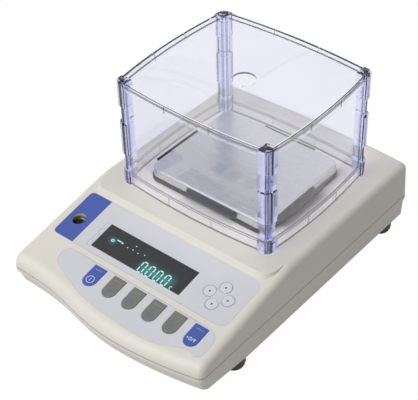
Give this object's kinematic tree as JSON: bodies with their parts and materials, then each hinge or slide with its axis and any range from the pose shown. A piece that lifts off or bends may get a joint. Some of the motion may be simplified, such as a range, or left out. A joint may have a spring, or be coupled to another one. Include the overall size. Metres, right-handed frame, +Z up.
{
  "type": "laboratory balance",
  "caption": "Bench balance with a sloping key panel and display, a square weighing pan and a clear lift-off draught shield on four levelling feet.",
  "frame": {"origin": "centre of the overall box, on the table the feet stand on", "axes": "+Z up, -Y towards the user and the key panel, +X to the user's right; the body is longest along Y"},
  "size_m": [0.2342, 0.3383, 0.194],
  "materials": {
    "ivory_shell": "fine moulded texture",
    "shell_screws": "plain",
    "hook_plate": "moulded",
    "panel_film": "printed film, satin",
    "display_filter": "dark filter",
    "blue_key": "satin",
    "grey_key": "satin",
    "pale_key": "satin",
    "circuit_board": "varnished",
    "switch_black": "moulded",
    "tube_glass": "sealed glass",
    "level_metal": "turned",
    "level_glass": "clear",
    "pan_steel": "fine brushed",
    "tray_black": "moulded",
    "spindle_metal": "turned",
    "collar_rubber": "matt",
    "sensor_metal": "machined",
    "fork_metal": "ground",
    "brass_bush": "turned",
    "foot_black": "moulded",
    "pad_rubber": "matt",
    "socket_black": "moulded",
    "shield_clear": "clear moulded plastic with a cool tint"
  },
  "bodies": {
    "base": {"lower_base": "ivory_shell", "upper_housing": "ivory_shell", "housing_screws": "shell_screws", "hook_cover": "hook_plate", "upper_film": "panel_film", "lower_film": "panel_film", "display_window": "display_filter", "panel_board": "circuit_board", "key_switches": "switch_black", "display_tube": "tube_glass", "level_cup": "level_metal", "level_vial": "level_glass", "dust_collar": "collar_rubber", "sensor_block": "sensor_metal", "tuning_fork": "fork_metal", "foot_bushes": "brass_bush", "main_board": "circuit_board", "power_socket": "socket_black", "serial_socket": "socket_black"},
    "weigh_column": {"spindle": "spindle_metal", "pan_tray": "tray_black"},
    "pan": {"weighing_pan": "pan_steel"},
    "shield": {"shield_front": "shield_clear", "shield_back": "shield_clear", "shield_left": "shield_clear", "shield_right": "shield_clear", "shield_pins": "shield_clear"},
    "lid": {"shield_lid": "shield_clear"},
    "power_key": {"power_key": "blue_key"},
    "function_key_1": {"function_key_1": "grey_key"},
    "function_key_2": {"function_key_2": "grey_key"},
    "function_key_3": {"function_key_3": "grey_key"},
    "function_key_4": {"function_key_4": "grey_key"},
    "zero_key": {"zero_key": "blue_key"},
    "arrow_key_up": {"arrow_key_up": "pale_key"},
    "arrow_key_down": {"arrow_key_down": "pale_key"},
    "arrow_key_left": {"arrow_key_left": "pale_key"},
    "arrow_key_right": {"arrow_key_right": "pale_key"},
    "foot_pad_front_left": {"foot_pad_front_left": "pad_rubber"},
    "foot_screw_front_left": {"foot_screw_front_left": "foot_black"},
    "foot_pad_front_right": {"foot_pad_front_right": "pad_rubber"},
    "foot_screw_front_right": {"foot_screw_front_right": "foot_black"},
    "foot_pad_rear_left": {"foot_pad_rear_left": "pad_rubber"},
    "foot_screw_rear_left": {"foot_screw_rear_left": "foot_black"},
    "foot_pad_rear_right": {"foot_pad_rear_right": "pad_rubber"},
    "foot_screw_rear_right": {"foot_screw_rear_right": "foot_black"}
  },
  "joints": [
    {"name": "weigh_travel", "type": "slide", "parent": "base", "child": "weigh_column", "axis": [0, 0, 1], "range_m": [-0.0003, 0], "stiffness_N_per_m": 40000, "springref_m": 0.0003},
    {"name": "pan_lift", "type": "slide", "parent": "weigh_column", "child": "pan", "axis": [0, 0, 1], "range_m": [0, 0.06]},
    {"name": "shield_lift", "type": "slide", "parent": "base", "child": "shield", "axis": [0, 0, 1], "range_m": [0, 0.08]},
    {"name": "lid_lift", "type": "slide", "parent": "shield", "child": "lid", "axis": [0, 0, 1], "range_m": [0, 0.05]},
    {"name": "power_key_press", "type": "slide", "parent": "base", "child": "power_key", "axis": [0, -0.1959, 0.9806], "range_m": [-0.0005, 0], "stiffness_N_per_m": 3000, "springref_m": 0.0002},
    {"name": "function_key_1_press", "type": "slide", "parent": "base", "child": "function_key_1", "axis": [0, -0.1959, 0.9806], "range_m": [-0.0005, 0], "stiffness_N_per_m": 3000, "springref_m": 0.0002},
    {"name": "function_key_2_press", "type": "slide", "parent": "base", "child": "function_key_2", "axis": [0, -0.1959, 0.9806], "range_m": [-0.0005, 0], "stiffness_N_per_m": 3000, "springref_m": 0.0002},
    {"name": "function_key_3_press", "type": "slide", "parent": "base", "child": "function_key_3", "axis": [0, -0.1959, 0.9806], "range_m": [-0.0005, 0], "stiffness_N_per_m": 3000, "springref_m": 0.0002},
    {"name": "function_key_4_press", "type": "slide", "parent": "base", "child": "function_key_4", "axis": [0, -0.1959, 0.9806], "range_m": [-0.0005, 0], "stiffness_N_per_m": 3000, "springref_m": 0.0002},
    {"name": "zero_key_press", "type": "slide", "parent": "base", "child": "zero_key", "axis": [0, -0.1959, 0.9806], "range_m": [-0.0005, 0], "stiffness_N_per_m": 3000, "springref_m": 0.0002},
    {"name": "arrow_key_up_press", "type": "slide", "parent": "base", "child": "arrow_key_up", "axis": [0, -0.1959, 0.9806], "range_m": [-0.0005, 0], "stiffness_N_per_m": 3000, "springref_m": 0.0002},
    {"name": "arrow_key_down_press", "type": "slide", "parent": "base", "child": "arrow_key_down", "axis": [0, -0.1959, 0.9806], "range_m": [-0.0005, 0], "stiffness_N_per_m": 3000, "springref_m": 0.0002},
    {"name": "arrow_key_left_press", "type": "slide", "parent": "base", "child": "arrow_key_left", "axis": [0, -0.1959, 0.9806], "range_m": [-0.0005, 0], "stiffness_N_per_m": 3000, "springref_m": 0.0002},
    {"name": "arrow_key_right_press", "type": "slide", "parent": "base", "child": "arrow_key_right", "axis": [0, -0.1959, 0.9806], "range_m": [-0.0005, 0], "stiffness_N_per_m": 3000, "springref_m": 0.0002},
    {"name": "foot_front_left_travel", "type": "slide", "parent": "base", "child": "foot_pad_front_left", "axis": [0, 0, 1], "range_m": [-0.0041, 0.0026]},
    {"name": "foot_front_left_turn", "type": "hinge", "parent": "foot_pad_front_left", "child": "foot_screw_front_left", "pos_m": [-0.1012, -0.0944, 0.01], "axis": [0, 0, 1], "range_deg": [-1440, 900]},
    {"name": "foot_front_right_travel", "type": "slide", "parent": "base", "child": "foot_pad_front_right", "axis": [0, 0, 1], "range_m": [-0.0041, 0.0026]},
    {"name": "foot_front_right_turn", "type": "hinge", "parent": "foot_pad_front_right", "child": "foot_screw_front_right", "pos_m": [0.1012, -0.0944, 0.01], "axis": [0, 0, 1], "range_deg": [-1440, 900]},
    {"name": "foot_rear_left_travel", "type": "slide", "parent": "base", "child": "foot_pad_rear_left", "axis": [0, 0, 1], "range_m": [-0.0041, 0.0026]},
    {"name": "foot_rear_left_turn", "type": "hinge", "parent": "foot_pad_rear_left", "child": "foot_screw_rear_left", "pos_m": [-0.1012, 0.1423, 0.01], "axis": [0, 0, 1], "range_deg": [-1440, 900]},
    {"name": "foot_rear_right_travel", "type": "slide", "parent": "base", "child": "foot_pad_rear_right", "axis": [0, 0, 1], "range_m": [-0.0041, 0.0026]},
    {"name": "foot_rear_right_turn", "type": "hinge", "parent": "foot_pad_rear_right", "child": "foot_screw_rear_right", "pos_m": [0.1012, 0.1423, 0.01], "axis": [0, 0, 1], "range_deg": [-1440, 900]}
  ]
}
